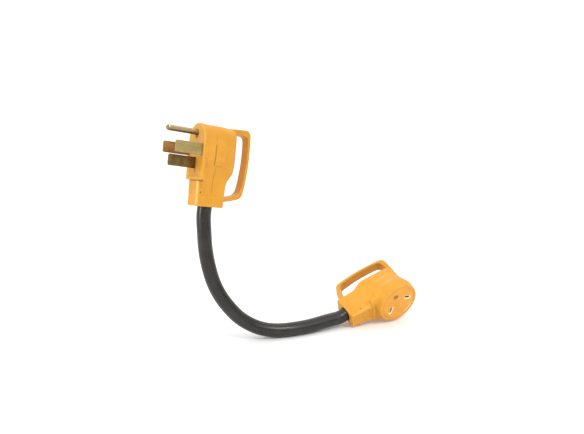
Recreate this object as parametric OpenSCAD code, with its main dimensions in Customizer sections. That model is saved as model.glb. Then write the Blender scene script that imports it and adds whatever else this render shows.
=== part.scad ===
// Short adapter cord: a right-angle 50 A plug and a right-angle 30 A connector
// joined by one heavy three-core cord. Each head has a loop handle on its back.
// Millimetres, Z up, the object lies on z = 0 as it rests on its cord and connector.

/* [Heads] */
// Width of the cord neck, side to side
neck_w = 20; // [18:0.5:24]
// Length of the cord neck, from the cord end to the step under the head
neck_len = 27.7; // [24:0.1:30]
// Half width of the plug head
head_r = 18.3; // [18:0.1:20]
// Height of a head from the end of its neck to its crown
head_top = 88.3; // [86:0.1:92]
// Distance from the cord axis to the plug face
face_x = 16.5; // [15:0.5:18]
// Radius of the round connector face
barrel_r = 26; // [24:0.5:27]
// Distance from the cord axis to the connector face
barrel_x = 24.5; // [22:0.5:26]

/* [Contacts] */
// Distance between the two hot blades of the plug
hot_spacing = 28.6; // [28:0.1:29]
// Width of a plug blade
blade_w = 12.1; // [11.5:0.1:12.5]
// Thickness of a blade
blade_t = 1.8; // [1.6:0.1:2]
// Length of a plug blade in front of the face
blade_len = 31; // [25:0.5:33]
// Diameter of the round earth pin
pin_d = 6.35; // [6:0.05:6.6]
// Length of the earth pin in front of the face
pin_len = 36; // [30:0.5:38]
// Bore of the connector's earth socket
socket_d = 6.5; // [6.4:0.05:6.8]
// Distance between the centres of the connector's two slots
slot_spacing = 25.6; // [23:0.1:27]

/* [Handles] */
// Width of the handle strap
strap_w = 13.5; // [8:0.5:14]

/* [Cord] */
// Outer diameter of the cord jacket
cord_d = 16; // [14:0.5:16]
// Diameter of one insulated core
core_d = 5.2; // [4.8:0.1:5.2]
// Diameter of the bare copper
copper_d = 2.9; // [2.6:0.1:3]

/* [Hidden] */
// Where the end of each neck lies and how each head is turned
plug_pos = [-100.4, -44.4, 154];
plug_rot = [6, -11, -144];
conn_pos = [57.6, 0.6, 14.4];
conn_rot = [-70, 19, -59];

// Middle of the cord between the heads, from the plug round to the connector
route = [
  [-101, -49.5, 128], [-100, -51.5, 109], [-97, -52.5, 90], [-92, -52, 71],
  [-84.5, -50.5, 54], [-74.5, -47.5, 38.5], [-63.5, -44.5, 26], [-49.5, -40.5, 16], [-35.5, -37.5, 10.5],
  [-20.5, -34.5, 8.3], [-3.5, -29.5, 8.1], [14.5, -21.5, 8.4], [33.5, -11.5, 10]
];

hot_z = 59.4;
pin_z = 78;
neutral_z = 45.5;
neck_front = 16.5;
neck_back = 17.5;
socket_depth = 14;
arch_z = head_top - head_r;
conn_arch_z = 68;
barrel_z = 61;
face_r = 22;
hot_y = hot_spacing / 2;
lead_r = 3.05;
crimp_d = 5.4;
crimp_len = 8.5;
// Places of the three cores round the cord axis, earth, neutral, hot
lead_xy = [[0, 3.05], [2.64, -1.52], [-2.64, -1.52]];
plug_crimp_z = [65.5, 30, 43];
conn_crimp_z = [30, 30, 30];
// The connector's pattern is turned a little about the middle of its face
face_turn = -18;
slot_drop = 1.6;
earth_rise = 12.5;
shank_r = 2.7;
// Room round the earth socket's mouth in the face
mouth_d = 7;
slot_l = 7.2;
slot_w = 2.2;
eps = 0.01;

// ---- placing the heads ----
function turn(v, a) =
  let (x = [v.x, v.y * cos(a.x) - v.z * sin(a.x), v.y * sin(a.x) + v.z * cos(a.x)])
  let (y = [x.x * cos(a.y) + x.z * sin(a.y), x.y, -x.x * sin(a.y) + x.z * cos(a.y)])
  [y.x * cos(a.z) - y.y * sin(a.z), y.x * sin(a.z) + y.y * cos(a.z), y.z];
function plug_at(v) = plug_pos + turn(v, plug_rot);
function conn_at(v) = conn_pos + turn(v, conn_rot);
module at_plug() {
  translate(plug_pos) rotate(plug_rot) children();
}
module at_conn() {
  translate(conn_pos) rotate(conn_rot) children();
}

// ---- shapes shared by both heads ----
// Extrudes an outline drawn in (x, z) through the width w
module side(w) {
  translate([0, w / 2, 0]) rotate([90, 0, 0]) linear_extrude(height = w) children();
}
// Extrudes an outline drawn in (y, z) from x = a to x = b
module front(a, b) {
  translate([a, 0, 0]) rotate([90, 0, 90]) linear_extrude(height = b - a) children();
}
module arch(r, zc, z0) {
  translate([0, zc]) circle(r = r, $fn = 96);
  translate([-r, z0]) square([2 * r, zc - z0]);
}
module back_outline(top) {
  polygon([[face_x, neck_len], [face_x, top], [-8, top], [-14, top - 0.8], [-20, top - 2.5],
    [-24.5, top - 5.5], [-27.5, top - 10], [-29.5, top - 17], [-30, 62], [-29.5, 53], [-27.5, 45],
    [-24.5, 38], [-21, 32], [-18.5, 26], [-neck_back, 20], [-neck_back, 0], [0, 0]]);
}
module flare(zc, r) {
  polygon([[-9.6, 16], [9.6, 16], [10.1, 22], [10.8, 28], [12.3, 33], [14.6, 39], [16.9, 46],
    [r - 0.2, 53], [r, 58], [r, zc], [-r, zc], [-r, 58], [0.2 - r, 53], [-16.9, 46], [-14.6, 39],
    [-12.3, 33], [-10.8, 28], [-10.1, 22]]);
  translate([0, zc]) circle(r = r, $fn = 96);
}
// The connector widens sooner than the plug
module early_flare() {
  polygon([[-9.8, 12], [9.8, 12], [10.4, 17], [11.4, 22], [12.9, 28], [14.3, 33], [15.8, 39],
    [17.2, 46], [18, 53], [head_r, 58], [-head_r, 58], [-18, 53], [-17.2, 46], [-15.8, 39],
    [-14.3, 33], [-12.9, 28], [-11.4, 22], [-10.4, 17]]);
}
// Rounded back of a head seen from above
module back_plan() {
  polygon([[face_x, -20], [face_x, 20], [-8, 20], [-10, 18.2], [-16, 17], [-21.5, 14.2],
    [-25.5, 10.8], [-28.6, 6.5], [-30, 0], [-28.6, -6.5], [-25.5, -10.8], [-21.5, -14.2],
    [-16, -17], [-10, -18.2], [-8, -20]]);
}
module neck() {
  translate([-neck_back, -neck_w / 2, 0]) cube([neck_back + neck_front, neck_w, neck_len + 2]);
}
module head_back(top, zc) {
  intersection() {
    side(44) back_outline(top);
    front(-32, face_x) flare(zc, head_r);
    linear_extrude(height = 95) back_plan();
  }
}
// Small blind holes left by the pins that held the cord while the head was moulded
module pin_marks() {
  for (s = [-1, 1])
    translate([12.5, s * (neck_w / 2 - 0.6), 14.6]) rotate([90, 0, 0])
      cylinder(h = 1.3, r = 0.9, center = true, $fn = 24);
  translate([neck_front - 1.2, -1, 14.2]) rotate([0, 90, 0]) cylinder(h = 1.3, r = 0.9, $fn = 24);
}
module cord_bore() {
  translate([0, 0, -1]) cylinder(h = socket_depth + 1, d = cord_d + 0.1, $fn = 64);
  translate([0, 0, socket_depth - eps]) cylinder(h = 16, d = 11.6, $fn = 64);
}
// Loop handle: a strap with two legs, drawn from the side
module handle_outline() {
  difference() {
    polygon([[-neck_back, 6], [-26, 8], [-34.5, 10.2], [-39, 12], [-41.7, 15.5], [-43.7, 23],
      [-45.5, 35], [-46.8, 50], [-47.2, 66], [-46.9, 78], [-46.4, 82.8], [-44.4, 86.5], [-41, 88],
      [-19, 86.6], [-19, 80.2], [-neck_back, 80]]);
    polygon([[-10, 9.8], [-neck_back, 11.2], [-26, 13.2], [-33, 15], [-37.4, 18.2], [-39.8, 24],
      [-41.9, 36], [-43.4, 50], [-43.8, 66], [-43.4, 76], [-41.8, 79.8], [-37.5, 81.2], [-30, 81.2],
      [-19, 80.2], [-10, 80]]);
  }
}
module handle_solid() {
  side(strap_w) handle_outline();
}

// ---- plug ----
module blade_outline(back) {
  b = blade_w / 2;
  tip = face_x + blade_len;
  polygon([[back, -b], [tip - 1.6, -b], [tip, 1.6 - b], [tip, b - 1.6], [tip - 1.6, b], [back, b]]);
}
module blade(y, z, back) {
  translate([0, y, z]) side(blade_t) blade_outline(back);
}
module live_blade_solid() {
  blade(-hot_y, hot_z, -4);
  translate([-5.3, -hot_y - blade_t / 2, 51.5]) cube([6.3, hot_y + blade_t / 2 + 0.2, 2.4]);
}
module spare_blade_solid() {
  difference() {
    blade(hot_y, hot_z, -4);
    translate([2, hot_y, hot_z]) rotate([90, 0, 0]) cylinder(h = 6, r = 2, center = true, $fn = 32);
  }
}
module neutral_blade_solid() {
  blade(0, neutral_z, 6);
  translate([0.3, -4.1, 38.5]) cube([11, 4.3, 1.8]);
}
module pin_solid() {
  tip = face_x + pin_len;
  r = pin_d / 2;
  translate([-6, 0, pin_z]) rotate([0, 90, 0]) cylinder(h = face_x + 6, r = shank_r, $fn = 48);
  translate([face_x, 0, pin_z]) rotate([0, 90, 0]) cylinder(h = pin_len - r, r = r, $fn = 48);
  translate([tip - r, 0, pin_z]) sphere(r = r, $fn = 48);
  translate([-3, -2.5, 74]) cube([6, 8, 3]);
}
module core_hull() {
  front(-8, 13) {
    polygon([[-9, 28], [9, 28], [9, 42], [16.3, 50], [16.3, arch_z], [-16.3, arch_z], [-16.3, 50],
      [-9, 42]]);
    translate([0, arch_z]) circle(r = 16.3, $fn = 96);
  }
}
module leads(zs, flip) {
  for (i = [0:2])
    translate([lead_xy[i].x, flip * lead_xy[i].y, 20])
      cylinder(h = zs[i] + crimp_len - 20, d = crimp_d, $fn = 32);
}
module plug_metal() {
  live_blade_solid();
  blade(hot_y, hot_z, -4);
  neutral_blade_solid();
  pin_solid();
}
module plug_body() {
  color([0.93, 0.60, 0.10]) at_plug() difference() {
    union() {
      neck();
      front(12.6, face_x) arch(head_r, arch_z, neck_len);
      head_back(head_top, arch_z);
    }
    core_hull();
    plug_metal();
    cord_bore();
    handle_solid();
    pin_marks();
  }
}
module plug_handle() {
  color([0.88, 0.54, 0.09]) at_plug() handle_solid();
}
module plug_core() {
  color([0.25, 0.25, 0.27]) at_plug() difference() {
    core_hull();
    plug_metal();
    leads(plug_crimp_z, 1);
  }
}
module hot_blade_live() {
  color([0.72, 0.60, 0.32]) at_plug() live_blade_solid();
}
module hot_blade_spare() {
  color([0.72, 0.60, 0.32]) at_plug() spare_blade_solid();
}
module neutral_blade() {
  color([0.66, 0.54, 0.30]) at_plug() neutral_blade_solid();
}
module earth_pin() {
  color([0.80, 0.68, 0.38]) at_plug() pin_solid();
}
module crimp(z, xy) {
  translate([xy.x, xy.y, z]) difference() {
    cylinder(h = crimp_len, d = crimp_d, $fn = 32);
    translate([0, 0, -1]) cylinder(h = crimp_len + 2, d = copper_d + 0.1, $fn = 32);
  }
}
module plug_crimp(i) {
  color([0.75, 0.75, 0.72]) at_plug() crimp(plug_crimp_z[i], lead_xy[i]);
}
module plug_crimp_earth() {
  plug_crimp(0);
}
module plug_crimp_neutral() {
  plug_crimp(1);
}
module plug_crimp_hot() {
  plug_crimp(2);
}

// ---- connector ----
// Places its children on the face pattern: u runs from slot to slot, v away from the earth hole
module on_face(u, v) {
  translate([0, 0, barrel_z]) rotate([-face_turn, 0, 0]) translate([0, v, u]) children();
}
module barrel() {
  translate([0, 0, barrel_z]) rotate([0, 90, 0]) rotate_extrude($fn = 128)
    polygon([[0, -6], [17, -6], [19.8, -1], [23.4, 5], [25.4, 9], [barrel_r, 13],
      [barrel_r, barrel_x - 1.2], [barrel_r - 1.2, barrel_x], [0, barrel_x]]);
}
module face_hull() {
  translate([4, 0, barrel_z]) rotate([0, 90, 0])
    cylinder(h = barrel_x - 0.6 - 4, r = face_r, $fn = 128);
  front(-8, 5) {
    polygon([[-9, 28], [9, 28], [12, 41], [15.8, 50], [16.8, 55], [16.8, 64], [-16.8, 64],
      [-16.8, 55], [-15.8, 50], [-12, 41]]);
    translate([0, 64]) circle(r = 16.8, $fn = 96);
  }
}
// One slot, its long side turned by a, with a lead-in round its mouth
module slot(u, v, a) {
  on_face(u, v) rotate([-a, 0, 0]) {
    translate([-3.5, -slot_w / 2, -slot_l / 2]) cube([30, slot_w, slot_l]);
    translate([barrel_x - 1.6, -slot_w / 2 - 0.9, -slot_l / 2 - 0.9])
      cube([3, slot_w + 1.8, slot_l + 1.8]);
  }
}
// Two spring leaves joined at the back
module leaves(u, v, a) {
  on_face(u, v) rotate([-a, 0, 0]) {
    for (s = [-1, 1])
      translate([-4.5, s * 1.6 - 0.4, -3.9]) cube([25, 0.8, 7.8]);
    translate([-5.3, -2, -3.9]) cube([1.2, 4, 7.8]);
  }
}
module leaf_room(u, v, a) {
  on_face(u, v) rotate([-a, 0, 0]) translate([-5.3, -2, -3.9]) cube([25.8, 4, 7.8]);
}
slot_u = slot_spacing / 2;
module hot_strap() {
  translate([-7, -1.3, 38.5]) cube([7.2, 5.2, 1.6]);
  translate([-7, -1.3, 38.5]) cube([1.8, 5.2, 36]);
}
module neutral_strap() {
  translate([0.4, 0.3, 38.5]) cube([4.8, 7, 1.6]);
  translate([-5.3, 4.2, 38.5]) cube([10.5, 3, 1.6]);
  translate([-5.3, 4.2, 38.5]) cube([1.2, 3, 9.8]);
}
module earth_strap() {
  translate([-2.6, -5.8, 38.5]) cube([5.2, 4, 1.6]);
  translate([-2.6, -9.6, 38.5]) cube([2, 7, 1.6]);
  translate([-2.6, -9.6, 38.5]) cube([2, 1.6, 18]);
}
module earth_tube() {
  on_face(0, -earth_rise) translate([-3, 0, 0]) rotate([0, 90, 0]) difference() {
    cylinder(h = 25, d = socket_d + 1.8, $fn = 48);
    translate([0, 0, -1]) cylinder(h = 27, d = socket_d, $fn = 48);
  }
}
module earth_room() {
  on_face(0, -earth_rise) translate([-3, 0, 0]) rotate([0, 90, 0])
    cylinder(h = 25, d = socket_d + 1.8, $fn = 48);
}
module earth_hole(d) {
  on_face(0, -earth_rise) translate([-4, 0, 0]) rotate([0, 90, 0])
    cylinder(h = 35, d = d, $fn = 48);
}
module hot_contact_solid() {
  leaves(slot_u, slot_drop, 45);
  hot_strap();
}
module neutral_contact_solid() {
  leaves(-slot_u, slot_drop, -45);
  neutral_strap();
}
module earth_contact_solid() {
  earth_tube();
  difference() {
    earth_strap();
    earth_hole(socket_d);
  }
}
module connector_metal() {
  hot_contact_solid();
  neutral_contact_solid();
  earth_room();
  earth_strap();
}
module connector_body() {
  color([0.93, 0.60, 0.10]) at_conn() difference() {
    union() {
      neck();
      front(12.6, face_x) arch(head_r, conn_arch_z, neck_len);
      head_back(conn_arch_z + head_r, conn_arch_z);
      intersection() {
        side(44) back_outline(conn_arch_z + head_r);
        front(-32, face_x) early_flare();
        linear_extrude(height = 95) back_plan();
      }
      barrel();
    }
    face_hull();
    translate([barrel_x - 0.8, 0, barrel_z]) rotate([0, 90, 0]) cylinder(h = 2, r = face_r, $fn = 128);
    cord_bore();
    handle_solid();
    pin_marks();
  }
}
module connector_handle() {
  color([0.88, 0.54, 0.09]) at_conn() handle_solid();
}
module connector_face() {
  color([0.90, 0.58, 0.12]) at_conn() difference() {
    face_hull();
    connector_metal();
    leaf_room(slot_u, slot_drop, 45);
    leaf_room(-slot_u, slot_drop, -45);
    slot(slot_u, slot_drop, 45);
    slot(-slot_u, slot_drop, -45);
    earth_hole(mouth_d);
    leads(conn_crimp_z, -1);
  }
}
module hot_contact() {
  color([0.78, 0.62, 0.30]) at_conn() hot_contact_solid();
}
module neutral_contact() {
  color([0.78, 0.62, 0.30]) at_conn() neutral_contact_solid();
}
module earth_contact() {
  color([0.78, 0.62, 0.30]) at_conn() earth_contact_solid();
}
module conn_crimp(i) {
  color([0.75, 0.75, 0.72]) at_conn() crimp(conn_crimp_z[i], [lead_xy[i].x, -lead_xy[i].y]);
}
module connector_crimp_earth() {
  conn_crimp(0);
}
module connector_crimp_neutral() {
  conn_crimp(1);
}
module connector_crimp_hot() {
  conn_crimp(2);
}

// ---- cord ----
function unit(v) = v / norm(v);
function bend(a, b, c, d, t) =
  0.5 * ((2 * b) + (c - a) * t + (2 * a - 5 * b + 4 * c - d) * t * t
    + (3 * b - a - 3 * c + d) * t * t * t);
steps = 3;
ends = concat([plug_at([0, 0, 12]), plug_at([0, 0, 0]), plug_at([0, 0, -12])], route,
  [conn_at([0, 0, -10]), conn_at([0, 0, 0]), conn_at([0, 0, 12])]);
free = concat(
  [for (i = [1:len(ends) - 3]) for (k = [0:steps - 1])
    bend(ends[i - 1], ends[i], ends[i + 1], ends[i + 2], k / steps)],
  [conn_at([0, 0, 0])]);
last = len(free) - 1;
// Middle line from a point za up inside the plug to a point zb up inside the connector
function line(za, zb) = concat([plug_at([0, 0, za])], free, [conn_at([0, 0, zb])]);
function way(p) = [for (i = [0:len(p) - 1])
  i < 2 ? unit(p[1] - p[0]) : i > len(p) - 3 ? unit(p[len(p) - 1] - p[len(p) - 2])
    : unit(p[i + 1] - p[i - 1])];
function across(t) = [for (i = 0, n = turn([1, 0, 0], plug_rot); i < len(t);
  i = i + 1, n = i < len(t) ? unit(n - (n * t[i]) * t[i]) : n) n];
function swing(t, n) =
  let (e = len(t) - 1, want = turn([1, 0, 0], conn_rot))
  atan2(want * cross(t[e], n[e]), want * n[e]);
// Ring of points round ring i of the middle line, off the middle by q
function ring(p, t, n, i, a, q, r, sides, phase) =
  let (w = a * i / (len(p) - 1), b = cross(t[i], n[i]))
  let (u = n[i] * cos(w) + b * sin(w), v = b * cos(w) - n[i] * sin(w))
  [for (k = [0:sides - 1]) let (g = 360 * (k + phase) / sides)
    p[i] + u * (q.x + r * cos(g)) + v * (q.y + r * sin(g))];
module rod(za, zb, q, r, sides) {
  p = line(za, zb);
  t = way(p);
  n = across(t);
  a = swing(t, n);
  m = len(p);
  pts = [for (i = [0:m - 1]) each ring(p, t, n, i, a, q, r, sides, 0)];
  polyhedron(points = pts, faces = concat(
    [[for (k = [0:sides - 1]) k]],
    [for (i = [0:m - 2]) for (k = [0:sides - 1]) let (j = (k + 1) % sides)
      [i * sides + k, (i + 1) * sides + k, (i + 1) * sides + j]],
    [for (i = [0:m - 2]) for (k = [0:sides - 1]) let (j = (k + 1) % sides)
      [i * sides + k, (i + 1) * sides + j, i * sides + j]],
    [[for (k = [0:sides - 1]) m * sides - 1 - k]]), convexity = 8);
}
module pipe(za, zb, q, ro, ri, sides) {
  p = line(za, zb);
  t = way(p);
  n = across(t);
  a = swing(t, n);
  m = len(p);
  s = sides;
  c = m * s;
  pts = concat([for (i = [0:m - 1]) each ring(p, t, n, i, a, q, ro, s, 0)],
    [for (i = [0:m - 1]) each ring(p, t, n, i, a, q, ri, s, 0)]);
  f = (m - 1) * s;
  polyhedron(points = pts, faces = concat(
    [for (i = [0:m - 2]) for (k = [0:s - 1]) let (j = (k + 1) % s)
      [i * s + k, (i + 1) * s + k, (i + 1) * s + j]],
    [for (i = [0:m - 2]) for (k = [0:s - 1]) let (j = (k + 1) % s)
      [i * s + k, (i + 1) * s + j, i * s + j]],
    [for (i = [0:m - 2]) for (k = [0:s - 1]) let (j = (k + 1) % s)
      [c + i * s + k, c + (i + 1) * s + j, c + (i + 1) * s + k]],
    [for (i = [0:m - 2]) for (k = [0:s - 1]) let (j = (k + 1) % s)
      [c + i * s + k, c + i * s + j, c + (i + 1) * s + j]],
    [for (k = [0:s - 1]) let (j = (k + 1) % s) [k, j, c + j]],
    [for (k = [0:s - 1]) let (j = (k + 1) % s) [k, c + j, c + k]],
    [for (k = [0:s - 1]) let (j = (k + 1) % s) [f + k, c + f + j, f + j]],
    [for (k = [0:s - 1]) let (j = (k + 1) % s) [f + k, c + f + k, c + f + j]]), convexity = 8);
}
function lead_off(i) = [lead_xy[i].x, -lead_xy[i].y];
module sheath(i) {
  pipe(plug_crimp_z[i] - 0.3, conn_crimp_z[i] - 0.3, lead_off(i), core_d / 2, copper_d / 2 + 0.12, 8);
}
module copper(i) {
  rod(plug_crimp_z[i] + 7.5, conn_crimp_z[i] + 7.5, lead_off(i), copper_d / 2, 8);
}
module cord_jacket() {
  color([0.09, 0.09, 0.09]) pipe(socket_depth - eps, socket_depth - eps, [0, 0], cord_d / 2, 5.95, 12);
}
module core_sheath_earth() {
  color([0.10, 0.45, 0.20]) sheath(0);
}
module core_sheath_neutral() {
  color([0.85, 0.85, 0.82]) sheath(1);
}
module core_sheath_hot() {
  color([0.12, 0.12, 0.12]) sheath(2);
}
module core_copper_earth() {
  color([0.72, 0.40, 0.22]) copper(0);
}
module core_copper_neutral() {
  color([0.72, 0.40, 0.22]) copper(1);
}
module core_copper_hot() {
  color([0.72, 0.40, 0.22]) copper(2);
}

plug_body();
plug_handle();
plug_core();
hot_blade_live();
hot_blade_spare();
neutral_blade();
earth_pin();
plug_crimp_earth();
plug_crimp_neutral();
plug_crimp_hot();
connector_body();
connector_handle();
connector_face();
hot_contact();
neutral_contact();
earth_contact();
connector_crimp_earth();
connector_crimp_neutral();
connector_crimp_hot();
cord_jacket();
core_sheath_earth();
core_sheath_neutral();
core_sheath_hot();
core_copper_earth();
core_copper_neutral();
core_copper_hot();
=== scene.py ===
"""A short adapter cord standing on its cord and connector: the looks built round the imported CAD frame."""
import math

import bmesh
import bpy
import numpy as np
from mathutils import Euler, Matrix, Vector


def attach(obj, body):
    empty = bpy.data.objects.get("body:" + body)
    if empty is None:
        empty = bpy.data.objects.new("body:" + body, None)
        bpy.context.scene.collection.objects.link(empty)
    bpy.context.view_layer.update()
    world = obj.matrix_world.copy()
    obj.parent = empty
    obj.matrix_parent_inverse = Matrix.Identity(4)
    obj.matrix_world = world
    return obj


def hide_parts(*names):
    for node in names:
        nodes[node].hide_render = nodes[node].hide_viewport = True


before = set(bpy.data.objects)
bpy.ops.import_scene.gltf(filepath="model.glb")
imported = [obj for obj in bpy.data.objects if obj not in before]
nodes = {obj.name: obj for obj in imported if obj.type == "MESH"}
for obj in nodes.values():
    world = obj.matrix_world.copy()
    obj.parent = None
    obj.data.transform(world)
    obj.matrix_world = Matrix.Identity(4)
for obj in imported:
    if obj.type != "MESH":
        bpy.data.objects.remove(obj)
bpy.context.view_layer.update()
scene = bpy.context.scene

# ---- where the heads, the cord and the camera are ----
MM = 0.001
PLUG = ((-100.4, -44.4, 154.0), (6, -11, -144))  # place of the end of the neck in mm, turn in degrees
CONN = ((57.6, 0.6, 14.4), (-70, 19, -59))
ROUTE = [  # middle line of the free cord, from plug to connector
    (-101, -49.5, 128), (-100, -51.5, 109), (-97, -52.5, 90), (-92, -52, 71),
    (-84.5, -50.5, 54), (-74.5, -47.5, 38.5), (-63.5, -44.5, 26), (-49.5, -40.5, 16), (-35.5, -37.5, 10.5),
    (-20.5, -34.5, 8.3), (-3.5, -29.5, 8.1), (14.5, -21.5, 8.4), (33.5, -11.5, 10),
]
CORD_R = 8.0
CORD_INSET = 0.03  # keeps the visible jacket inside the faceted one of the CAD
CORD_IN = 13.9  # how far the jacket goes up into each neck
SENSOR_MM, FRAME_PX, FOCAL_PX = 36, 584, 600
CAMERA_AT, CAMERA_TILT = (-0.0064, -0.6784, 0.2774), 78


def head_matrix(head):
    """Takes a point of a head's own frame, in millimetres, to the row frame, in metres."""
    pos, rot = head
    turn = Euler([math.radians(a) for a in rot], "XYZ").to_matrix().to_4x4()
    return Matrix.Translation(Vector(pos) * MM) @ turn @ Matrix.Scale(MM, 4)


M_PLUG, M_CONN = head_matrix(PLUG), head_matrix(CONN)

cam_data = bpy.data.cameras.new("camera")
cam_data.sensor_width, cam_data.lens = SENSOR_MM, FOCAL_PX / FRAME_PX * SENSOR_MM
camera = bpy.data.objects.new("camera", cam_data)
camera.location = CAMERA_AT
camera.rotation_euler = (math.radians(CAMERA_TILT), 0, 0)
scene.collection.objects.link(camera)
scene.camera = camera


# ---- mesh helpers ----
def make_mesh(name, verts, faces, matrix=None, smooth=True):
    mesh = bpy.data.meshes.new(name)
    mesh.from_pydata([tuple(v) for v in verts], [], [tuple(f) for f in faces])
    if matrix is not None:
        mesh.transform(matrix)
    mesh.update()
    mesh.polygons.foreach_set("use_smooth", [smooth] * len(mesh.polygons))
    obj = bpy.data.objects.new(name, mesh)
    scene.collection.objects.link(obj)
    return obj


def store(obj, name, values, kind="FLOAT_VECTOR"):
    """Keeps a value at each vertex for the materials to read."""
    layer = obj.data.attributes.new(name, kind, "POINT")
    channel = "vector" if kind == "FLOAT_VECTOR" else "value"
    layer.data.foreach_set(channel, np.asarray(values, np.float32).ravel())


def as_piece(obj, slot, *replaced, material=None):
    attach(obj, "root")
    if replaced:
        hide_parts(*replaced)
    if material is not None:
        obj.data.materials.clear()
        obj.data.materials.append(material)
    return obj


def catmull(a, b, c, d, t):
    return 0.5 * (2 * b + (c - a) * t + (2 * a - 5 * b + 4 * c - d) * t * t + (3 * b - a - 3 * c + d) * t**3)


# ---- the cord jacket ----
def plug_at(z):
    return np.array(M_PLUG @ Vector((0, 0, z))) / MM


def conn_at(z):
    return np.array(M_CONN @ Vector((0, 0, z))) / MM


def cord_line(steps=10):
    ends = [plug_at(12), plug_at(0), plug_at(-12)] + [np.array(p, float) for p in ROUTE]
    ends += [conn_at(-10), conn_at(0), conn_at(12)]
    free = [
        catmull(ends[i - 1], ends[i], ends[i + 1], ends[i + 2], k / steps)
        for i in range(1, len(ends) - 2)
        for k in range(steps)
    ]
    head = [plug_at(z) for z in (CORD_IN, 9, 4)]
    tail = [conn_at(z) for z in (0, 4, 9, CORD_IN)]
    return np.array(head + free + tail)


def tube(name, line, radius, sides, bulge):
    """Tube with closed ends along a line in mm; its length and angle are kept for the material."""
    way = np.gradient(line, axis=0)
    way /= np.linalg.norm(way, axis=1)[:, None]
    along = np.concatenate([[0], np.cumsum(np.linalg.norm(np.diff(line, axis=0), axis=1))])
    side = np.array([1.0, 0.0, 0.0])
    verts, loc = [], []
    turn = 2 * math.pi * np.arange(sides) / sides
    for i, p in enumerate(line):
        side = side - way[i] * (side @ way[i])
        side /= np.linalg.norm(side)
        up = np.cross(way[i], side)
        r = radius + bulge(along[i], turn)
        verts.append(p + (r * np.cos(turn))[:, None] * side + (r * np.sin(turn))[:, None] * up)
        loc.append(np.stack([np.full(sides, along[i]), radius * np.cos(turn), radius * np.sin(turn)], 1))
    n = len(line)
    faces = [
        (i * sides + k, i * sides + (k + 1) % sides,
         (i + 1) * sides + (k + 1) % sides, (i + 1) * sides + k)
        for i in range(n - 1)
        for k in range(sides)
    ]
    faces += [tuple(range(sides))[::-1], tuple((n - 1) * sides + k for k in range(sides))]
    obj = make_mesh(name, np.concatenate(verts), faces, Matrix.Scale(MM, 4))
    store(obj, "loc", np.concatenate(loc))
    return obj


def jacket_bulge(s, turn):
    """The cores show faintly through the jacket as a slow three-start twist."""
    return 0.05 * np.sin(3 * turn - 2 * math.pi * s / 95) + 0.03 * np.sin(turn * 2 + s * 0.11) - 0.03


jacket_line = cord_line()
jacket = tube("jacket", jacket_line, CORD_R - CORD_INSET, 56, jacket_bulge)


# ---- solid shapes from distance fields, in a head's own millimetres ----
def poly(px, py, pts):
    """Signed distance to a closed outline, negative inside."""
    shape = np.broadcast(px, py).shape
    best, sign = np.full(shape, 1e18), np.ones(shape)
    for (ax, ay), (bx, by) in zip(pts, pts[-1:] + pts[:-1]):
        ex, ey = bx - ax, by - ay
        wx, wy = px - ax, py - ay
        t = np.clip((wx * ex + wy * ey) / (ex * ex + ey * ey), 0, 1)
        best = np.minimum(best, (wx - ex * t) ** 2 + (wy - ey * t) ** 2)
        up, down, left = py >= ay, py < by, ex * wy > ey * wx
        sign = np.where((up & down & left) | (~up & ~down & ~left), -sign, sign)
    return sign * np.sqrt(best)


def outline(pts, steps=5):
    """Smooth closed outline through the points; one with a third value is a sharp corner."""
    out, n = [], len(pts)
    at = [np.array(p[:2], float) for p in pts]
    sharp = [len(p) > 2 for p in pts]
    for i in range(n):
        a, b, c, d = (at[(i + k) % n] for k in (-1, 0, 1, 2))
        if sharp[i]:
            a = b
        if sharp[(i + 1) % n]:
            d = c
        count = 1 if sharp[i] and sharp[(i + 1) % n] else steps
        out += [tuple(catmull(a, b, c, d, k / count)) for k in range(count)]
    return out


def both(a, b, r):
    """Where two shapes overlap, its edge rounded by r."""
    return np.minimum(-r, np.maximum(a, b)) + np.hypot(np.maximum(a + r, 0), np.maximum(b + r, 0))


def either(a, b, r):
    """Two shapes joined, with a fillet of r between them."""
    return -both(-a, -b, r)


def less(a, b, r=0.05):
    """The first shape without the second."""
    return both(a, -b, r)


def step_up(d, width):
    """1 well inside a region, 0 outside it, smooth between, over width."""
    t = np.clip(0.5 - d / width, 0, 1)
    return t * t * (3 - 2 * t)


def sample(grid, p):
    """Value of a grid at points given in cells, between its nodes."""
    top = np.array(grid.shape[:3]) - 2
    i = np.clip(np.floor(p).astype(int), 0, top)
    f = np.clip(p - i, 0, 1)
    total = 0
    for dx in (0, 1):
        for dy in (0, 1):
            for dz in (0, 1):
                w = (f[:, 0] if dx else 1 - f[:, 0]) * (f[:, 1] if dy else 1 - f[:, 1])
                w = w * (f[:, 2] if dz else 1 - f[:, 2])
                v = grid[i[:, 0] + dx, i[:, 1] + dy, i[:, 2] + dz]
                total = total + (v.T * w).T
    return total


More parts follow.
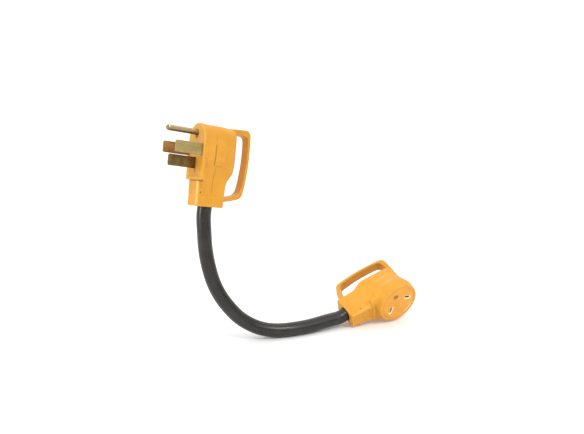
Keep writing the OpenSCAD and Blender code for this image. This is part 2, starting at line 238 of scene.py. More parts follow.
def skin(name, field, low, high, h, matrix):
    """Closed mesh where the field is zero, with one vertex in each grid cell that it crosses."""
    low = np.array(low, float)
    size = [int(math.ceil((b - a) / h)) + 1 for a, b in zip(low, high)]
    x, y, z = (a + h * np.arange(k) for a, k in zip(low, size))
    d = field(x[:, None, None], y[None, :, None], z[None, None, :])
    d = np.ascontiguousarray(np.broadcast_to(d, size))
    cells = tuple(k - 1 for k in size)
    total, count = np.zeros((int(np.prod(cells)), 3)), np.zeros(int(np.prod(cells)))
    quads = []
    for a in range(3):
        b, c = (a + 1) % 3, (a + 2) % 3
        lo, hi = [slice(None)] * 3, [slice(None)] * 3
        lo[a], hi[a] = slice(0, -1), slice(1, None)
        d0, d1 = d[tuple(lo)], d[tuple(hi)]
        cross = (d0 < 0) != (d1 < 0)
        at = np.argwhere(cross)
        place = at.astype(float)
        place[:, a] += (d0 / np.where(d0 == d1, 1, d0 - d1))[cross]
        ring = []
        for ob, oc in ((-1, -1), (0, -1), (0, 0), (-1, 0)):
            cell = at.copy()
            cell[:, b] += ob
            cell[:, c] += oc
            flat = np.ravel_multi_index(tuple(cell.T), cells, mode="clip")
            ring.append(flat)
            count += np.bincount(flat, minlength=len(count))
            for k in range(3):
                total[:, k] += np.bincount(flat, weights=place[:, k], minlength=len(count))
        ring = np.stack(ring, 1)
        out = (d0 < 0)[cross]
        quads.append(np.where(out[:, None], ring, ring[:, ::-1]))
    quads = np.concatenate(quads)
    used = np.flatnonzero(count)
    number = np.full(len(count), -1)
    number[used] = np.arange(len(used))
    quads = number[quads]
    p = total[used] / count[used][:, None]
    slope = np.stack(np.gradient(d, h), -1)
    for _ in range(3):
        q = low + h * p
        g = sample(slope, p)
        g /= np.maximum(np.linalg.norm(g, axis=1), 1e-6)[:, None]
        move = np.clip(field(q[:, 0], q[:, 1], q[:, 2]), -0.3 * h, 0.3 * h)
        p = p - g * (move / h)[:, None]
    bend = np.gradient(slope[..., 0], h, axis=0) + np.gradient(slope[..., 1], h, axis=1)
    bend += np.gradient(slope[..., 2], h, axis=2)
    q = low + h * p
    mesh = bpy.data.meshes.new(name)
    mesh.vertices.add(len(q))
    mesh.vertices.foreach_set("co", q.ravel())
    mesh.loops.add(quads.size)
    mesh.loops.foreach_set("vertex_index", quads.ravel())
    mesh.polygons.add(len(quads))
    mesh.polygons.foreach_set("loop_start", np.arange(0, quads.size, 4))
    mesh.update(calc_edges=True)
    mesh.validate()
    mesh.polygons.foreach_set("use_smooth", [True] * len(mesh.polygons))
    mesh.transform(matrix)
    obj = bpy.data.objects.new(name, mesh)
    scene.collection.objects.link(obj)
    store(obj, "loc", q)
    store(obj, "bend", np.clip(sample(bend, p), -1.5, 1.5), "FLOAT")
    return obj


# ---- the heads ----
NECK_FRONT, NECK_LEN, NECK_W, STRAP_W = 16.5, 27.7, 20, 13.5
HEAD_R, FACE_X = 18.3, 16.5
BARREL_Z, BARREL_X, FACE_R = 61, 24.5, 22
CONN_INSET = 0.04  # keeps the visible connector inside the CAD box
FACE_TURN, SLOT_U, SLOT_DROP, EARTH_RISE = math.radians(-18), 12.8, 1.6, 12.5


def back_side(top):
    return outline([
        (16.5, 0, 1), (16.5, top, 1), (-8, top), (-14, top - 0.8), (-20, top - 2.5), (-24.5, top - 5.5),
        (-27.5, top - 10), (-29.5, top - 17), (-30, 62), (-29.5, 53), (-27.5, 45), (-24.5, 38), (-21, 32),
        (-18.5, 26), (-17.5, 20), (-17.5, 0, 1),
    ])


def arch_points(r, zc, sides=48):
    turns = [math.pi * k / sides for k in range(sides + 1)]
    return [(r * math.cos(a), zc + r * math.sin(a)) for a in turns]


# Half width of a head at each height, up to where it is straight
LATE_RISE = [
    (9.6, 14), (9.7, 18), (10.1, 22), (10.8, 28), (12.3, 33), (14.6, 39), (16.9, 46), (18.1, 53),
]
EARLY_RISE = [
    (9.6, 10), (9.9, 14), (10.4, 17), (11.4, 22), (12.9, 28), (14.3, 33), (15.8, 39), (17.2, 46), (18, 53),
]


def flare_front(zc, rise):
    right = outline([(*rise[0], 1)] + rise[1:] + [(HEAD_R, 58), (HEAD_R, zc, 1)])
    right = right[: right.index(min(right, key=lambda p: abs(p[1] - zc) + abs(p[0] - HEAD_R))) + 1]
    left = [(-a, b) for a, b in reversed(right)]
    return right + arch_points(HEAD_R, zc)[1:-1] + left


BACK_PLAN = outline([
    (16.6, -20, 1), (16.6, 20, 1), (-6, 20, 1), (-10, 18.2), (-16, 17), (-21.5, 14.2), (-25.5, 10.8),
    (-28.6, 6.5), (-30, 0), (-28.6, -6.5), (-25.5, -10.8), (-21.5, -14.2), (-16, -17), (-10, -18.2),
    (-6, -20, 1),
])
HANDLE_OUT = outline([
    (-15, 6.1, 1), (-26, 8), (-34.5, 10.2), (-39, 12), (-41.7, 15.5), (-43.7, 23), (-45.5, 35), (-46.8, 50),
    (-47.2, 66), (-46.9, 78), (-46.4, 82.8), (-44.4, 86.5), (-41, 88), (-30, 87.6), (-19, 86.6), (-12, 86, 1),
    (-12, 46, 1),
])
HANDLE_IN = outline([
    (-4, 10, 1), (-17.5, 11.2), (-26, 13.2), (-33, 15), (-37.4, 18.2), (-39.8, 24), (-41.9, 36), (-43.4, 50),
    (-43.8, 66), (-43.4, 76), (-41.8, 79.8), (-37.5, 81.2), (-30, 81.2), (-19, 80.2), (-4, 80, 1),
])


def handle_field(x, y, z):
    loop = np.maximum(poly(x, z, HANDLE_OUT), -poly(x, z, HANDLE_IN))
    return both(loop, np.abs(y) - STRAP_W / 2, 1.3)


def neck_field(x, y, z):
    plan = both(np.abs(x + 0.5) - 17, np.abs(y) - NECK_W / 2, 2.4)
    return both(plan, np.abs(z - 15) - 15, 1.0)


def bore(x, y, z):
    r = np.hypot(x, y)
    return np.maximum(r - CORD_R - 0.05 - np.maximum(0, 0.9 - z), z - 14)


def marks(x, y, z):
    """Dimples of the moulding pins, on both sides and the front of the neck."""
    side = np.hypot(np.hypot(x - 12.5, z - 14.6), np.abs(y) - NECK_W / 2 - 0.2) - 1.0
    front = np.hypot(np.hypot(y + 1, z - 14.2), x - NECK_FRONT - 0.2) - 1.0
    return np.minimum(side, front)


FLARE_PLUG, SIDE_PLUG = flare_front(70, LATE_RISE), back_side(88.3)
FLARE_CONN, SIDE_CONN = flare_front(68, EARLY_RISE), back_side(86.3)
CORE_HULL = [(9, 28), (9, 42), (16.3, 50), (16.3, 70)] + arch_points(16.3, 70)[1:-1] + [
    (-16.3, 70), (-16.3, 50), (-9, 42), (-9, 28)]


def plug_field(x, y, z):
    back = both(both(poly(x, z, SIDE_PLUG), poly(y, z, FLARE_PLUG), 2.4), poly(x, y, BACK_PLAN), 2.0)
    arch = np.maximum(np.where(z > 70, np.hypot(y, z - 70), np.abs(y)) - HEAD_R, NECK_LEN - z)
    block = both(arch, np.abs(x - 14.55) - 1.95, 0.9)
    d = either(back, neck_field(x, y, z), 2.5)
    d = either(d, block, 1.6)
    panel = np.maximum(np.abs(x + 7.2) - 5.2, np.abs(z - 55) - 12)
    d = d - 0.25 * step_up(panel, 2.0) * step_up(8 - np.abs(y), 2)
    d = less(d, marks(x, y, z), 0.15)
    d = less(d, bore(x, y, z))
    inner = np.maximum(poly(y, z, CORE_HULL), np.abs(x - 2.5) - 10.5)
    return less(d, inner)


BARREL = outline([(0, -6, 1), (17, -6, 1), (19.8, -1), (23.4, 5), (25.4, 9), (25.97, 13), (25.97, 18, 1),
                  (25.97, 24.5, 1), (0, 24.5, 1)])


def conn_field(x, y, z):
    back = both(both(poly(x, z, SIDE_CONN), poly(y, z, FLARE_CONN), 2.4), poly(x, y, BACK_PLAN), 2.0)
    foot = NECK_LEN + 0.3 * np.maximum(np.abs(y) - 10, 0)
    arch = both(np.where(z > 68, np.hypot(y, z - 68), np.abs(y)) - HEAD_R, foot - z, 2.5)
    block = both(arch, np.abs(x - 14.55) - 1.95, 1.4)
    d = either(back, neck_field(x, y, z), 2.5)
    d = either(d, block, 6.0)
    barrel = both(poly(np.hypot(y, z - BARREL_Z), x, BARREL), x - BARREL_X, 1.3)
    d = both(either(d, barrel, 6.0), x - BARREL_X, 1.3)
    d = less(d, marks(x, y, z), 0.15)
    d = less(d, bore(x, y, z))
    return less(d, face_hull(x, y, z), 0.35) + CONN_INSET


def face_hull(x, y, z):
    """The room in the connector for the face insert and the parts behind it."""
    disc = np.maximum(np.hypot(y, z - BARREL_Z) - FACE_R, 4 - x)
    top = np.where(z > 64, np.hypot(y, z - 64), np.abs(y)) - 16.8
    width = np.interp(np.clip(z, 28, 64), [28, 41, 50, 55, 64], [9, 12, 15.8, 16.8, 16.8])
    inner = np.maximum(np.maximum(np.maximum(top, np.abs(y) - width), 28 - z), np.maximum(-8 - x, x - 5))
    return np.minimum(disc, inner)


def on_face(y, z, u, v, turn):
    """Puts a point into the frame of a slot, with its long side along the second value."""
    z = z - BARREL_Z
    c, s = math.cos(-FACE_TURN), math.sin(-FACE_TURN)
    a, b = y * c + z * s - v, -y * s + z * c - u
    c, s = math.cos(-turn), math.sin(-turn)
    return a * c + b * s, -a * s + b * c


def face_field(x, y, z):
    d = both(np.hypot(y, z - BARREL_Z) - FACE_R + 0.04, np.abs(x - 13.95) - 9.95, 0.5)
    for u, turn in ((SLOT_U, 45), (-SLOT_U, -45)):
        a, b = on_face(y, z, u, SLOT_DROP, math.radians(turn))
        lead = np.maximum(0, x - 22.7) * 0.75
        gap = np.maximum(np.abs(a) - 1.1 - lead, np.abs(b) - 3.6 - lead)
        room = np.maximum(np.maximum(np.abs(a) - 2, np.abs(b) - 3.9), x - 20.5)
        d = less(d, np.minimum(gap, room), 0.2)
    a, b = on_face(y, z, 0, -EARTH_RISE, 0)
    r = np.hypot(a, b)
    hole = np.where(x > 22, r - 3.5, r - 4.15)
    return less(d, hole, 0.2)


CELL = 0.5
HANDLE_BOX = (-48, -8.2, 4), (-2, 8.2, 90)
plug_housing = skin("plug_housing", plug_field, (-32, -20, -1.5), (18.2, 20, 90), CELL, M_PLUG)
plug_loop = skin("plug_loop", handle_field, *HANDLE_BOX, CELL, M_PLUG)
conn_housing = skin(
    "connector_housing", conn_field, (-32, -28, -1.5), (26.5, 28, 89.5), CELL * 1.1, M_CONN)
conn_loop = skin("connector_loop", handle_field, *HANDLE_BOX, CELL, M_CONN)
face_plate = skin("face_plate", face_field, (2.5, -23.5, 37), (25.5, 23.5, 85), CELL, M_CONN)


def local(obj):
    q = np.zeros(len(obj.data.vertices) * 3, np.float32)
    obj.data.attributes["loc"].data.foreach_get("vector", q)
    return q.reshape(-1, 3).T


def face_highlights(x, y, z):
    """Painted highlights: the lead-in and lip of each slot and an arc just inside the rim of the face."""
    light_and_wear = np.zeros(len(x))
    for u, turn in ((SLOT_U, 45), (-SLOT_U, -45)):
        a, b = on_face(y, z, u, SLOT_DROP, math.radians(turn))
        edge = np.hypot(np.maximum(np.abs(b) - 3.0, 0), a)
        light_and_wear = np.maximum(light_and_wear, step_up(edge - 2.5, 0.9) * step_up(22.9 - x, 0.4))
    r, turn = np.hypot(y, z - BARREL_Z), np.degrees(np.arctan2(z - BARREL_Z, y))
    arc = step_up(np.abs(r - 20.4) - 0.6, 0.8) * step_up(np.abs(turn - 42) - 20, 10)
    arc = arc * step_up(23.4 - x, 0.3)
    return np.maximum(light_and_wear, 0.8 * arc)


def corner_highlight(x, y, z):
    """Painted highlight along the front corners of the neck."""
    corner = step_up(np.hypot(x - 16.2, np.abs(y) - 9.7) - 1.3, 1.6)
    return 0.55 * corner * step_up(np.abs(z - 14) - 12, 3)


def plug_painted_light(x, y, z):
    """Painted highlight on the corners of the neck and, faintly, painted light on the whole front round the
    blades.
    """
    return np.maximum(corner_highlight(x, y, z), 0.2 * step_up(16.2 - x, 0.3) * step_up(50 - z, 8))


def seam_and_shade(x, y, z):
    """Dark in the parting line on each broad side, and a painted shadow below the front flange."""
    side = step_up(8 - np.abs(y), 2)
    high = step_up(np.abs(z - 55) - 11, 2) * step_up(np.abs(x - 2.2) - 0.6, 0.9)
    top = step_up(np.abs(z - 68) - 10, 4) * step_up(np.abs(x - 2.2) - 0.4, 0.9)
    low = step_up(np.abs(z - 29) - 14, 3) * step_up(np.abs(x + 0.6) - 0.5, 0.9)
    foot = step_up(np.abs(z - 43.4) - 0.5, 0.8) * step_up(np.abs(x + 2.2) - 4, 1.5)
    # Painted shadow below the front flange.
    painted_shade = step_up(np.abs(z - 27.1) - 0.7, 0.9) * step_up(11 - x, 2)
    line = np.maximum.reduce([0.65 * high, 0.25 * top, 0.4 * low, 0.3 * foot])
    return np.maximum(line * side, 0.65 * painted_shade)


def plug_seam_and_shadows(x, y, z):
    """The same, and painted shadows on the front round the bases of the pin and the blades."""
    front = step_up(16.2 - x, 0.3)
    pin_foot = step_up(np.hypot(y + 0.6, z - 75.2) - 3.3, 2.5)
    low_foot = step_up(np.maximum(np.abs(y - 1.4) - 1.4, np.abs(z - 43.5) - 8.5), 1.8)
    side_foot = step_up(np.maximum(np.abs(np.abs(y) - 14.3) - 1.6, np.abs(z - 58) - 8), 1.4)
    prong_shadows = np.maximum.reduce([0.85 * pin_foot, 0.5 * low_foot, 0.15 * side_foot])
    return np.maximum(seam_and_shade(x, y, z), front * prong_shadows)


def connector_corner_highlight(x, y, z):
    # Weaker painted highlight along the front corners of the neck.
    return 0.4 * corner_highlight(x, y, z)


def connector_flange_shadow(x, y, z):
    # Painted shadow below the front flange.
    return 0.35 * step_up(np.abs(z - 27.1) - 0.7, 0.9) * step_up(11 - x, 2)


def slot_wall_shade(x, y, z):
    """Painted shade: 1 on the walls inside the slots."""
    inside = np.zeros(len(x))
    for u, turn in ((SLOT_U, 45), (-SLOT_U, -45)):
        a, b = on_face(y, z, u, SLOT_DROP, math.radians(turn))
        inside = np.maximum(inside, step_up(np.maximum(np.abs(a) - 1.7, np.abs(b) - 4.2), 0.4))
    return inside * step_up(x - 22.7, 0.3)


def blank(x, y, z):
    return 0 * x


# Pale mask: painted highlights and painted light. Dark mask: dark parting lines, painted shadow and painted
# shade.
for obj, pale_at, dark_at in (
        (plug_housing, plug_painted_light, plug_seam_and_shadows), (plug_loop, blank, blank),
        (conn_housing, connector_corner_highlight, connector_flange_shadow), (conn_loop, blank, blank),
        (face_plate, face_highlights, slot_wall_shade)):
    store(obj, "light_and_wear", pale_at(*local(obj)), "FLOAT")
    store(obj, "seam_and_shade", dark_at(*local(obj)), "FLOAT")


# ---- blades and earth pin ----
def boxes(name, solids, matrix, round_by, segments=3):
    """Joins outlines, each extruded along y, into one closed solid and rounds its edges."""
    made = []
    for k, (pts, low, high) in enumerate(solids):
        bm = bmesh.new()
        ring = [[bm.verts.new((p[0], w, p[1])) for p in pts] for w in (low, high)]
        bm.faces.new(ring[0])
        bm.faces.new(ring[1][::-1])
        for i in range(len(pts)):
            j = (i + 1) % len(pts)
            bm.faces.new((ring[0][i], ring[1][i], ring[1][j], ring[0][j]))
        bmesh.ops.recalc_face_normals(bm, faces=bm.faces)
        mesh = bpy.data.meshes.new(f"{name}_{k}")
        bm.to_mesh(mesh)
        bm.free()
        obj = bpy.data.objects.new(f"{name}_{k}", mesh)
        scene.collection.objects.link(obj)
        made.append(obj)
    base = made[0]
    for extra in made[1:]:
        join = base.modifiers.new("join", "BOOLEAN")
        join.operation, join.solver, join.object = "UNION", "EXACT", extra
    bevel = base.modifiers.new("bevel", "BEVEL")
    bevel.width, bevel.segments = round_by, segments
    bevel.limit_method, bevel.angle_limit = "ANGLE", math.radians(30)
    mesh = bpy.data.meshes.new_from_object(base.evaluated_get(bpy.context.evaluated_depsgraph_get()))
    for extra in made:
        bpy.data.objects.remove(extra)
    co = np.zeros(len(mesh.vertices) * 3, np.float32)
    mesh.vertices.foreach_get("co", co)
    mesh.transform(matrix)
    mesh.name = name
    mesh.polygons.foreach_set("use_smooth", [True] * len(mesh.polygons))
    mesh.set_sharp_from_angle(angle=math.radians(50))
    obj = bpy.data.objects.new(name, mesh)
    scene.collection.objects.link(obj)
    store(obj, "loc", co)
    return obj


BLADE_T, BLADE_B, BLADE_TIP = 1.8, 6.05, 47.5  # thickness, half width, tip
HOT_Y, HOT_Z, NEUTRAL_Z = 14.3, 59.4, 45.5
BLADE_EDGE = 0.32


def blade_points(z, back):
    b, tip = BLADE_B, BLADE_TIP
    return [
        (back, z - b), (tip - 1.6, z - b), (tip - 0.4, z - b + 0.5), (tip, z - b + 1.6),
        (tip, z + b - 1.6), (tip - 0.4, z + b - 0.5), (tip - 1.6, z + b), (back, z + b)]


def slab(a, b):
    return [(a[0], a[1]), (b[0], a[1]), (b[0], b[1]), (a[0], b[1])]


t = BLADE_T / 2
live_blade = boxes("live_blade", [
    (blade_points(HOT_Z, -4), -HOT_Y - t, -HOT_Y + t),
    (slab((-5.3, 51.5), (1.0, 53.9)), -HOT_Y - t + 0.1, 0.2)], M_PLUG, BLADE_EDGE)
spare_blade = boxes("spare_blade", [
    (blade_points(HOT_Z, -4), HOT_Y - t, HOT_Y + t)], M_PLUG, BLADE_EDGE)
neutral_blade = boxes("neutral_prong", [
    (blade_points(NEUTRAL_Z, 6), -t, t),
    (slab((0.3, 38.5), (11.3, 40.3)), -4.1, 0.2)], M_PLUG, BLADE_EDGE)


def lathe(name, profile, sides, matrix):
    """Turns a profile of (x, radius) about the X axis."""
    turns = [2 * math.pi * k / sides for k in range(sides)]
    verts, faces = [(x, r * math.cos(a), r * math.sin(a)) for x, r in profile for a in turns], []
    n = len(profile)
    for i in range(n - 1):
        here, there = i * sides, (i + 1) * sides
        faces += [(here + k, there + k, there + (k + 1) % sides, here + (k + 1) % sides)
                  for k in range(sides)]
    faces += [tuple(range(sides)), tuple((n - 1) * sides + k for k in range(sides))[::-1]]
    bm = bmesh.new()
    bv = [bm.verts.new(v) for v in verts]
    for f in faces:
        bm.faces.new([bv[i] for i in f])
    bmesh.ops.recalc_face_normals(bm, faces=bm.faces)
    mesh = bpy.data.meshes.new(name)
    bm.to_mesh(mesh)
    bm.free()
    co = np.zeros(len(mesh.vertices) * 3, np.float32)
    mesh.vertices.foreach_get("co", co)
    mesh.transform(matrix)
    mesh.polygons.foreach_set("use_smooth", [True] * len(mesh.polygons))
    mesh.set_sharp_from_angle(angle=math.radians(40))
    obj = bpy.data.objects.new(name, mesh)
    scene.collection.objects.link(obj)
    store(obj, "loc", co)
    return obj


PIN_Z, PIN_R, PIN_TIP = 78, 3.175, 52.5
dome = [(PIN_TIP - PIN_R + PIN_R * math.sin(a), PIN_R * math.cos(a))
        for a in np.radians(np.linspace(0, 88, 14))]
pin_profile = [(-6, 2.7), (FACE_X - 0.05, 2.7), (FACE_X, PIN_R - 0.02)]
pin_profile += [(FACE_X + 0.4 + k * 1.9, PIN_R) for k in range(17)] + dome
pin = lathe("earth_prong", pin_profile, 56, M_PLUG @ Matrix.Translation((0, 0, PIN_Z)))


# ---- materials ----
PER_METRE = (1000, 1000, 1000)  # object coordinates to the millimetres that the patterns count in


class Nodes:
    """Short way to build a material's node tree."""

    def __init__(self, name):
        self.mat = bpy.data.materials.new(name)
        self.mat.use_nodes = True
        self.tree = self.mat.node_tree
        self.bsdf = self.tree.nodes["Principled BSDF"]

    def link(self, value, socket):
        if isinstance(value, bpy.types.NodeSocket):
            self.tree.links.new(value, socket)
        else:
            socket.default_value = value

    def node(self, kind, **settings):
        n = self.tree.nodes.new(kind)
        for k, v in settings.items():
            setattr(n, k, v)
        return n

    def attribute(self, name, out="Vector"):
        return self.node("ShaderNodeAttribute", attribute_name=name).outputs[out]

    def mapped(self, vector, scale):
        n = self.node("ShaderNodeMapping")
        self.link(vector, n.inputs["Vector"])
        n.inputs["Scale"].default_value = scale
        return n.outputs["Vector"]

    def noise(self, vector, scale, detail=4.0, rough=0.55):
        n = self.node("ShaderNodeTexNoise")
        self.link(vector, n.inputs["Vector"])
        for k, v in (("Scale", scale), ("Detail", detail), ("Roughness", rough)):
            n.inputs[k].default_value = v
        return n.outputs["Fac"]

    def ramp(self, fac, low, high, a=0.0, b=1.0):
        n = self.node("ShaderNodeMapRange", interpolation_type="SMOOTHSTEP")
        self.link(fac, n.inputs["Value"])
        for k, v in (("From Min", low), ("From Max", high), ("To Min", a), ("To Max", b)):
            n.inputs[k].default_value = v
        return n.outputs["Result"]

    def math(self, op, a, b=0.0):
        n = self.node("ShaderNodeMath", operation=op)
        self.link(a, n.inputs[0])
        self.link(b, n.inputs[1])
        return n.outputs[0]

    def mix(self, fac, a, b):
        n = self.node("ShaderNodeMix", data_type="RGBA", blend_type="MIX")
        self.link(fac, n.inputs["Factor"])
        for v, s in ((a, n.inputs["A"]), (b, n.inputs["B"])):
            self.link(v if isinstance(v, bpy.types.NodeSocket) else (*v, 1.0), s)
        return n.outputs["Result"]

    def bump(self, height, strength, distance, after=None):
        n = self.node("ShaderNodeBump")
        self.link(height, n.inputs["Height"])
        n.inputs["Strength"].default_value, n.inputs["Distance"].default_value = strength, distance
        if after is not None:
            self.link(after, n.inputs["Normal"])
        return n.outputs["Normal"]

    def set(self, **sockets):
        for k, v in sockets.items():
            self.link(v, self.bsdf.inputs[k.replace("_", " ")])
        return self.mat


def moulded(name, base, deep, pale, rough=0.42, painted_light_colour=(0.92, 0.62, 0.24), edge_wear_and_highlight=0.3):
    """Satin moulded plastic: soft mottling, fine grain, paler convex edges (partly edge wear, partly painted
    highlight), painted shade in the creases, and the painted light and painted shade of the stored masks.
    """
    m = Nodes(name)
    loc = m.attribute("loc")
    bend = m.attribute("bend", "Fac")
    cloud = m.noise(loc, 0.045, 3)
    grain = m.noise(loc, 2.6, 3, 0.6)
    speck = m.noise(loc, 0.9, 2)
    colour = m.mix(m.ramp(cloud, 0.35, 0.65), base, deep)
    # Convex edges paler: partly edge wear, partly painted highlight.
    light_and_wear = m.math("MULTIPLY", m.ramp(bend, 0.28, 0.75), m.ramp(speck, 0.35, 0.62))
    colour = m.mix(m.math("MULTIPLY", light_and_wear, edge_wear_and_highlight), colour, pale)
    # Concave creases darker: painted shade.
    crease_shade = m.math("MULTIPLY", m.ramp(bend, -0.12, -0.6), 0.45)
    colour = m.mix(crease_shade, colour, tuple(c * 0.55 for c in deep))
    scuffs = m.ramp(m.noise(m.mapped(loc, (0.5, 4.0, 0.5)), 0.8, 6, 0.7), 0.60, 0.72)
    colour = m.mix(m.math("MULTIPLY", scuffs, 0.10), colour, pale)
    # The stored pale mask: painted highlights and painted light.
    colour = m.mix(m.attribute("light_and_wear", "Fac"), colour, painted_light_colour)
    # The stored dark mask: dark parting line, painted shadow and painted shade.
    colour = m.mix(m.attribute("seam_and_shade", "Fac"), colour, tuple(c * 0.22 for c in deep))
    satin = m.ramp(cloud, 0.3, 0.7, rough - 0.05, rough + 0.06)
    roughness = m.math("ADD", satin, m.math("MULTIPLY", scuffs, 0.12))
    normal = m.bump(grain, 0.10, 0.0002)
    normal = m.bump(m.noise(loc, 0.16, 2), 0.10, 0.0012, normal)
    return m.set(Base_Color=colour, Roughness=roughness, Normal=normal, Specular_IOR_Level=0.2)


YELLOW, DEEP, PALE = (0.69, 0.32, 0.034), (0.65, 0.29, 0.028), (0.85, 0.49, 0.13)
mat_housing = moulded("yellow_moulding", YELLOW, DEEP, PALE)
mat_loop = moulded("yellow_handle", (0.63, 0.295, 0.034), (0.58, 0.265, 0.028), PALE, 0.40)
mat_face = moulded("yellow_face", (0.78, 0.36, 0.052), (0.74, 0.33, 0.045), (0.97, 0.74, 0.42), 0.5,
                   painted_light_colour=(0.95, 0.80, 0.55), edge_wear_and_highlight=0.08)


def rubber(name):
    """Black jacket: uneven sheen drawn out along the cord, dust in streaks and a fine grain."""
    m = Nodes(name)
    loc = m.attribute("loc")
    cloud = m.noise(loc, 0.06, 4)
    long = m.noise(m.mapped(loc, (0.05, 1.0, 1.0)), 1.6, 4, 0.6)
    fine = m.noise(loc, 2.2, 3, 0.6)
    colour = m.mix(m.ramp(cloud, 0.3, 0.7), (0.006, 0.0045, 0.003), (0.016, 0.0125, 0.0085))
    dust = m.math("MULTIPLY", m.ramp(long, 0.55, 0.75), m.ramp(m.noise(loc, 0.12, 3), 0.45, 0.7))
    colour = m.mix(m.math("MULTIPLY", dust, 0.45), colour, (0.095, 0.088, 0.080))
    roughness = m.ramp(long, 0.3, 0.75, 0.25, 0.36)
    normal = m.bump(fine, 0.12, 0.00025)
    normal = m.bump(long, 0.14, 0.0004, normal)
    return m.set(Base_Color=colour, Roughness=roughness, Normal=normal, Specular_IOR_Level=0.5)


mat_jacket = rubber("black_jacket")


def brass(name, base, dark, rough, lines_deep=0.12, spotted=0.4, shine=1.0):
    """Drawn or rolled brass, with fine lines along it and a dull film in patches."""
    m = Nodes(name)
    if "contact" in name:
        loc = m.mapped(m.node("ShaderNodeTexCoord").outputs["Object"], PER_METRE)
    else:
        loc = m.attribute("loc")
    painted_shade = None
    # Pin only: underside and tip darker, painted shade.
    if name == "pin_brass":
        part = m.node("ShaderNodeSeparateXYZ")
        m.link(loc, part.inputs[0])
        painted_shade = m.math("MAXIMUM", m.ramp(part.outputs["Z"], 0.4, -2.4, 0.0, 0.75),
                       m.ramp(part.outputs["X"], 50.2, 52, 0.0, 0.6))
    lines = m.noise(m.mapped(loc, (0.2, 3.0, 3.0)), 1.4, 5, 0.65)
    film = m.noise(loc, 0.13, 4, 0.6)
    spots = m.noise(loc, 0.7, 3)
    colour = m.mix(m.ramp(film, 0.38, 0.68), base, dark)
    spots = m.math("MULTIPLY", m.ramp(spots, 0.58, 0.72), spotted)
    colour = m.mix(spots, colour, tuple(c * 0.6 for c in dark))
    if painted_shade is not None:
        colour = m.mix(painted_shade, colour, (0.13, 0.075, 0.03))
    dull = m.ramp(film, 0.35, 0.7, rough, rough + 0.14)
    roughness = m.math("ADD", dull, m.math("MULTIPLY", lines, 0.08))
    normal = m.bump(lines, lines_deep, 0.0002)
    return m.set(Base_Color=colour, Metallic=shine, Roughness=roughness, Normal=normal)


# Three copies of one brass: the far blade reddened by a painted reflection of the yellow body, the neutral
# blade darkened by painted shade.
mat_near = brass("blade_brass_lit", (0.46, 0.35, 0.145), (0.37, 0.27, 0.105), 0.34)
mat_far = brass("blade_brass_painted_reflection", (0.44, 0.23, 0.075), (0.33, 0.155, 0.05), 0.36)
mat_low = brass("blade_brass_painted_shade", (0.25, 0.17, 0.062), (0.17, 0.11, 0.04), 0.38)
mat_pin = brass("pin_brass", (0.48, 0.38, 0.20), (0.43, 0.33, 0.165), 0.20, lines_deep=0.015, spotted=0.12)
# Very pale, barely metallic brass for the earth socket: painted light that makes the earth hole read as lit.
mat_socket = brass("contact_brass_painted_light", (0.95, 0.72, 0.34), (0.88, 0.64, 0.28), 0.5, shine=0.25)
mat_contact = brass("contact_brass", (0.62, 0.46, 0.20), (0.50, 0.35, 0.14), 0.3)


def simple(name, base, other, rough, metallic=0.0, scale=0.4):
    """For the hidden pieces: two tones, slightly uneven roughness and a fine bump."""
    m = Nodes(name)
    loc = m.mapped(m.node("ShaderNodeTexCoord").outputs["Object"], PER_METRE)
    cloud = m.noise(loc, scale, 4)
    return m.set(
        Base_Color=m.mix(m.ramp(cloud, 0.35, 0.65), base, other), Metallic=metallic,
        Roughness=m.ramp(cloud, 0.3, 0.7, rough, rough + 0.15), Normal=m.bump(cloud, 0.15, 0.0002))


HIDDEN = {
    "plug_core": simple("core_moulding", (0.05, 0.05, 0.055), (0.03, 0.03, 0.033), 0.5),
    "crimp": simple("tinned_crimp", (0.62, 0.62, 0.60), (0.48, 0.48, 0.47), 0.3, 1.0, 1.2),
    "core_sheath_earth": simple("green_sheath", (0.02, 0.19, 0.04), (0.015, 0.14, 0.03), 0.4),
    "core_sheath_neutral": simple("white_sheath", (0.78, 0.78, 0.75), (0.70, 0.70, 0.67), 0.4),
    "core_sheath_hot": simple("black_sheath", (0.012, 0.012, 0.012), (0.02, 0.02, 0.02), 0.4),
    "core_copper": simple("bare_copper", (0.72, 0.30, 0.15), (0.58, 0.22, 0.10), 0.3, 1.0, 1.5),
    "earth_contact": mat_socket,
    "contact": mat_contact,
}
for name, obj in nodes.items():
    for key, mat in HIDDEN.items():
        if key in name:
            obj.data.materials.clear()
            obj.data.materials.append(mat)
            break

as_piece(plug_housing, "housing", "plug_body", material=mat_housing)
as_piece(plug_loop, "handle", "plug_handle", material=mat_loop)
as_piece(conn_housing, "housing", "connector_body", material=mat_housing)
as_piece(conn_loop, "handle", "connector_handle", material=mat_loop)
as_piece(face_plate, "face", "connector_face", material=mat_face)
as_piece(live_blade, "brass", "hot_blade_live", material=mat_far)
as_piece(spare_blade, "brass", "hot_blade_spare", material=mat_near)
as_piece(neutral_blade, "brass", "neutral_blade", material=mat_low)
as_piece(pin, "pin", "earth_pin", material=mat_pin)
as_piece(jacket, "jacket", "cord_jacket", material=mat_jacket)

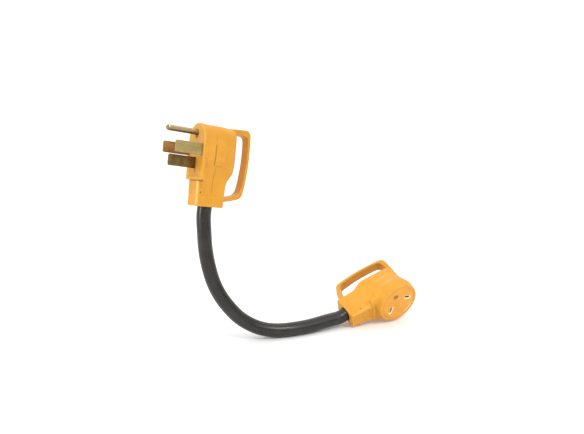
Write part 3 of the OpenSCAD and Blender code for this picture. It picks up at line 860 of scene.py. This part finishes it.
# ---- floor, light and backdrop ----
FLOOR = 6
corners = [(-FLOOR, -FLOOR, 0), (FLOOR, -FLOOR, 0), (FLOOR, FLOOR, 0), (-FLOOR, FLOOR, 0)]
floor = make_mesh("floor", corners, [(0, 1, 2, 3)], smooth=False)
m = Nodes("pale_floor")
floor.data.materials.append(m.set(Base_Color=(0.9, 0.9, 0.895, 1.0), Roughness=0.7, Specular_IOR_Level=0.2))

SKY_BASE, SKY_TOP, SKY_BACK = 0.60, 0.42, 0.50
world = bpy.data.worlds.new("studio")
scene.world = world
world.use_nodes = True
tree = world.node_tree
way = tree.nodes.new("ShaderNodeSeparateXYZ")
tree.links.new(tree.nodes.new("ShaderNodeTexCoord").outputs["Generated"], way.inputs[0])


def part_of_sky(axis, low, high, amount):
    n = tree.nodes.new("ShaderNodeMapRange")
    n.interpolation_type = "SMOOTHSTEP"
    tree.links.new(way.outputs[axis], n.inputs["Value"])
    for key, value in (("From Min", low), ("From Max", high), ("To Min", 0.0), ("To Max", amount)):
        n.inputs[key].default_value = value
    return n.outputs["Result"]


def added(first, second):
    n = tree.nodes.new("ShaderNodeMath")
    n.operation = "ADD"
    for value, socket in ((first, n.inputs[0]), (second, n.inputs[1])):
        if isinstance(value, float):
            socket.default_value = value
        else:
            tree.links.new(value, socket)
    return n.outputs[0]


# A pale wall behind, a bright ceiling, a dimmer room at the sides and in front
sky = added(SKY_BASE, part_of_sky("Z", 0.0, 0.9, SKY_TOP))
sky = added(sky, part_of_sky("Y", 0.25, 0.75, SKY_BACK))
background = tree.nodes["Background"]
background.inputs["Color"].default_value = (1.0, 1.0, 1.0, 1.0)
tree.links.new(sky, background.inputs["Strength"])


def sun(name, toward, strength, spread):
    """Soft light from a direction; spread is its size in the sky, in degrees."""
    data = bpy.data.lights.new(name, "SUN")
    data.energy, data.angle = strength, math.radians(spread)
    obj = bpy.data.objects.new(name, data)
    obj.rotation_euler = (-Vector(toward)).to_track_quat("-Z", "Y").to_euler()
    scene.collection.objects.link(obj)


sun("key", (0.6, -0.5, 0.62), 0.34, 40)
sun("streak", (0.33, -0.52, 0.79), 0.76, 9)
sun("ceiling", (-0.05, 0.1, 1.0), 0.38, 80)
sun("fill", (-0.8, -0.5, 0.3), 0.98, 18)
scene.view_settings.view_transform = "Standard"
